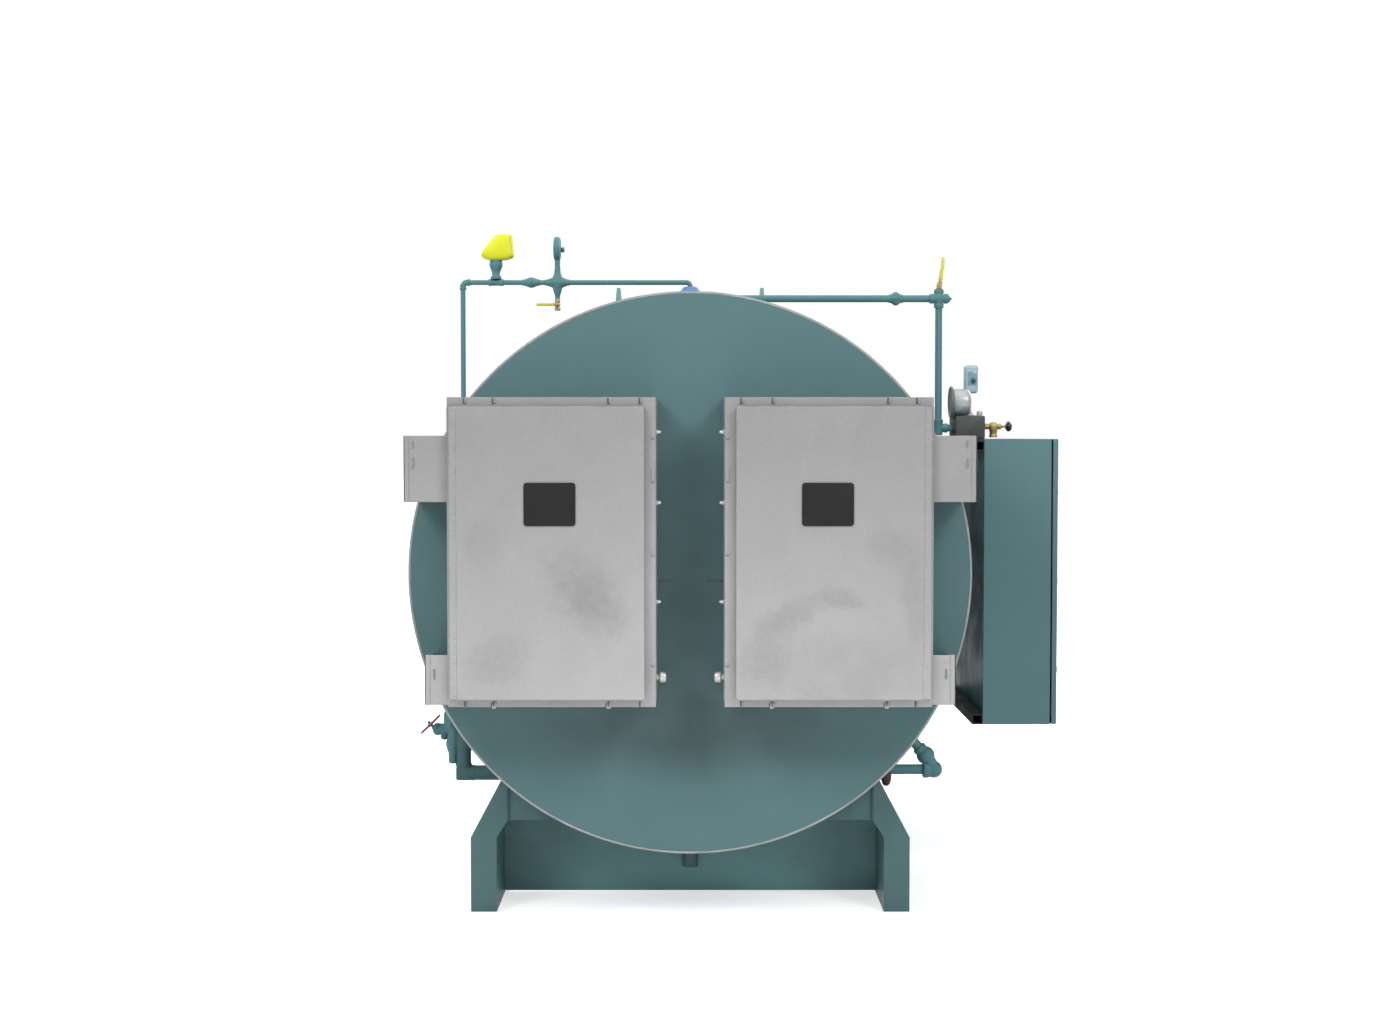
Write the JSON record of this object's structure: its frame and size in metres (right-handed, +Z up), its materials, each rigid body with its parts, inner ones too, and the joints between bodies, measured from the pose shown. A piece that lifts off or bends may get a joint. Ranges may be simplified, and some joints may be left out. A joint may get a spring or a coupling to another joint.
{
  "type": "industrial boiler",
  "caption": "Horizontal electric boiler on saddle legs, with hinged terminal enclosures on its front cover, a side control cabinet, gauges, valves and small pipework.",
  "frame": {"origin": "on the floor at the centre of the anchor bolt holes, under the middle of the vessel", "axes": "+X to the right seen from the front, +Y from the front cover to the rear along the vessel, +Z up"},
  "size_m": [2.0541, 2.273, 2.114],
  "materials": {
    "teal_paint": "semi-gloss enamel",
    "galvanised_sheet": "dull zinc",
    "rim_metal": "satin",
    "plated_steel": "zinc plated",
    "white_paint": "semi-gloss enamel",
    "blue_plastic": "satin",
    "yellow_plastic": "gloss",
    "yellow_grip": "dipped vinyl",
    "gauge_grey": "satin",
    "brass": "machined",
    "dark_iron": "dull",
    "pale_blue_paint": "satin",
    "black_plastic": "gloss",
    "red_paint": "semi-gloss enamel"
  },
  "bodies": {
    "root": {"shell_jacket": "teal_paint", "front_cover": "teal_paint", "rear_cover": "teal_paint", "front_left_leg": "teal_paint", "front_right_leg": "teal_paint", "rear_left_leg": "teal_paint", "rear_right_leg": "teal_paint", "front_web": "teal_paint", "rear_web": "teal_paint", "cradle_plates": "teal_paint", "cabinet": "teal_paint", "cabinet_rails": "teal_paint", "cabinet_standoffs": "teal_paint", "top_nozzle": "teal_paint", "left_line": "teal_paint", "vent_valve": "teal_paint", "right_line": "teal_paint", "drain_line": "teal_paint", "drain_valve": "teal_paint", "feed_loop": "teal_paint", "bottom_coupling": "teal_paint", "lifting_lugs": "teal_paint", "front_rim": "rim_metal", "rear_rim": "rim_metal", "left_enclosure": "galvanised_sheet", "right_enclosure": "galvanised_sheet", "left_brackets": "galvanised_sheet", "right_brackets": "galvanised_sheet", "enclosure_clamps": "plated_steel", "side_knobs": "plated_steel", "left_element_heads": "plated_steel", "right_element_heads": "plated_steel", "cabinet_panel": "white_paint", "nozzle_cap": "blue_plastic", "vent_hood": "yellow_plastic", "line_gauge": "gauge_grey", "drain_cock": "brass", "test_cock": "brass", "gauge_manifold": "dark_iron", "pressure_gauge": "gauge_grey", "pressure_switch": "pale_blue_paint", "petcock": "brass", "feed_plug": "dark_iron"},
    "left_door": {"left_door": "galvanised_sheet"},
    "right_door": {"right_door": "galvanised_sheet"},
    "cabinet_door": {"cabinet_door": "teal_paint"},
    "drain_lever": {"drain_lever": "yellow_grip"},
    "test_lever": {"test_lever": "yellow_grip"},
    "petcock_knob": {"petcock_knob": "black_plastic"},
    "handwheel": {"handwheel": "red_paint"}
  },
  "joints": [
    {"name": "left_door_hinge", "type": "hinge", "parent": "root", "child": "left_door", "pos_m": [-0.684, -1.259, 1.12], "axis": [0, 0, -1], "range_deg": [0, 120]},
    {"name": "right_door_hinge", "type": "hinge", "parent": "root", "child": "right_door", "pos_m": [0.684, -1.259, 1.12], "axis": [0, 0, 1], "range_deg": [0, 120]},
    {"name": "cabinet_door_hinge", "type": "hinge", "parent": "root", "child": "cabinet_door", "pos_m": [1.165, 0.206, 0.9845], "axis": [0, 0, 1], "range_deg": [0, 120]},
    {"name": "drain_lever_turn", "type": "hinge", "parent": "root", "child": "drain_lever", "pos_m": [-0.4368, -0.368, 1.884], "axis": [0, -1, 0], "range_deg": [0, 90]},
    {"name": "test_lever_turn", "type": "hinge", "parent": "root", "child": "test_lever", "pos_m": [0.818, -0.368, 1.944], "axis": [0, 1, 0], "range_deg": [0, 90]},
    {"name": "petcock_turn", "type": "hinge", "parent": "root", "child": "petcock_knob", "pos_m": [1.05, -0.35, 1.484], "axis": [1, 0, 0], "range_deg": [0, 360]},
    {"name": "handwheel_turn", "type": "hinge", "parent": "root", "child": "handwheel", "pos_m": [-0.842, -0.5, 0.519], "axis": [-0.6947, 0, 0.7193], "range_deg": [0, 720]}
  ]
}
